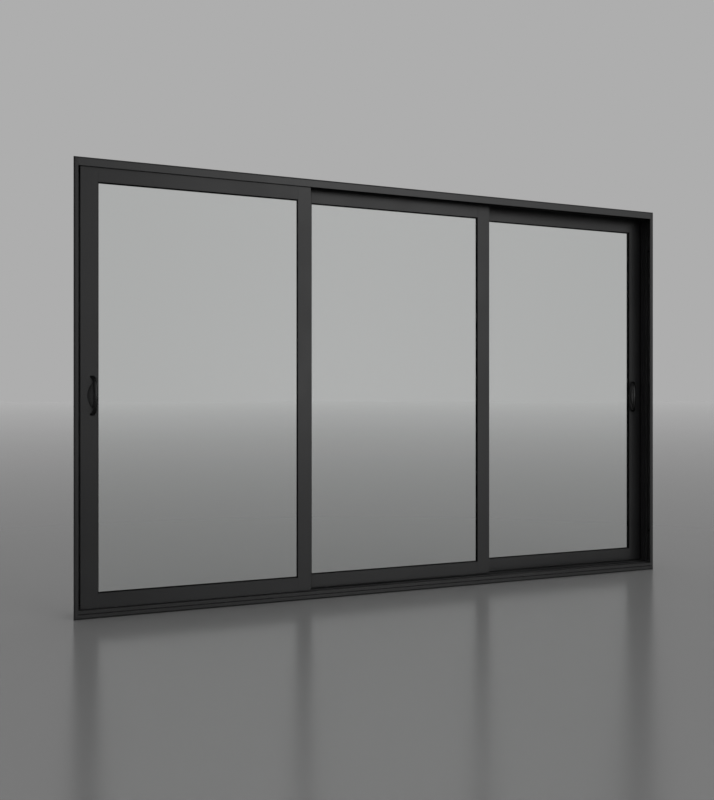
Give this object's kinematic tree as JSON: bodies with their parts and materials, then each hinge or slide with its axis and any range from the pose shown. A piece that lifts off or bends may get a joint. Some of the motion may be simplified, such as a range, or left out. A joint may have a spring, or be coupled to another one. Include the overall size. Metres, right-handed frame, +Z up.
{
  "type": "sliding patio door",
  "caption": "Black aluminium sliding patio door: wide frame with parallel tracks, full-height glazed panels that slide behind each other, and a bowed pull handle at each end.",
  "frame": {"origin": "middle of the sill's underside, half way along the door and half way through the frame", "axes": "+X along the door to the right seen from the front, +Y through the door from the front to the back, +Z up"},
  "size_m": [3.09, 0.1585, 2.032],
  "materials": {
    "frame_black": "satin black powder coat on aluminium extrusions",
    "panel_black": "satin black powder coat on aluminium extrusions",
    "handle_black": "satin black lacquer on cast zinc",
    "clear_glass": "clear toughened double glazing",
    "spacer_black": "black warm-edge spacer",
    "interlock_black": "black interlock strip",
    "wheel_nylon": "dark nylon roller",
    "carriage_plastic": "moulded roller housing"
  },
  "bodies": {
    "frame": {"head": "frame_black", "left_jamb": "frame_black", "right_jamb": "frame_black", "sill": "frame_black"},
    "left_panel": {"left_panel_bottom_rail": "panel_black", "left_panel_escutcheon": "handle_black", "left_panel_glass": "clear_glass", "left_panel_glazing_bead": "panel_black", "left_panel_handle_grip": "handle_black", "left_panel_interlock": "interlock_black", "left_panel_left_stile": "panel_black", "left_panel_right_stile": "panel_black", "left_panel_roller_carriages": "carriage_plastic", "left_panel_roller_wheels": "wheel_nylon", "left_panel_spacer": "spacer_black", "left_panel_top_rail": "panel_black"},
    "middle_panel": {"middle_panel_bottom_rail": "panel_black", "middle_panel_front_interlock": "interlock_black", "middle_panel_glass": "clear_glass", "middle_panel_glazing_bead": "panel_black", "middle_panel_left_stile": "panel_black", "middle_panel_rear_interlock": "interlock_black", "middle_panel_right_stile": "panel_black", "middle_panel_roller_carriages": "carriage_plastic", "middle_panel_roller_wheels": "wheel_nylon", "middle_panel_spacer": "spacer_black", "middle_panel_top_rail": "panel_black"},
    "right_panel": {"right_panel_bottom_rail": "panel_black", "right_panel_escutcheon": "handle_black", "right_panel_glass": "clear_glass", "right_panel_glazing_bead": "panel_black", "right_panel_handle_grip": "handle_black", "right_panel_interlock": "interlock_black", "right_panel_left_stile": "panel_black", "right_panel_right_stile": "panel_black", "right_panel_roller_carriages": "carriage_plastic", "right_panel_roller_wheels": "wheel_nylon", "right_panel_spacer": "spacer_black", "right_panel_top_rail": "panel_black"}
  },
  "joints": [
    {"name": "left_panel_slide", "type": "slide", "parent": "frame", "child": "left_panel", "axis": [1, 0, 0], "range_m": [0, 1.99]},
    {"name": "middle_panel_slide", "type": "slide", "parent": "frame", "child": "middle_panel", "axis": [-1, 0, 0], "range_m": [0, 0.991]},
    {"name": "right_panel_slide", "type": "slide", "parent": "middle_panel", "child": "right_panel", "axis": [-1, 0, 0], "range_m": [0, 0.92]}
  ]
}
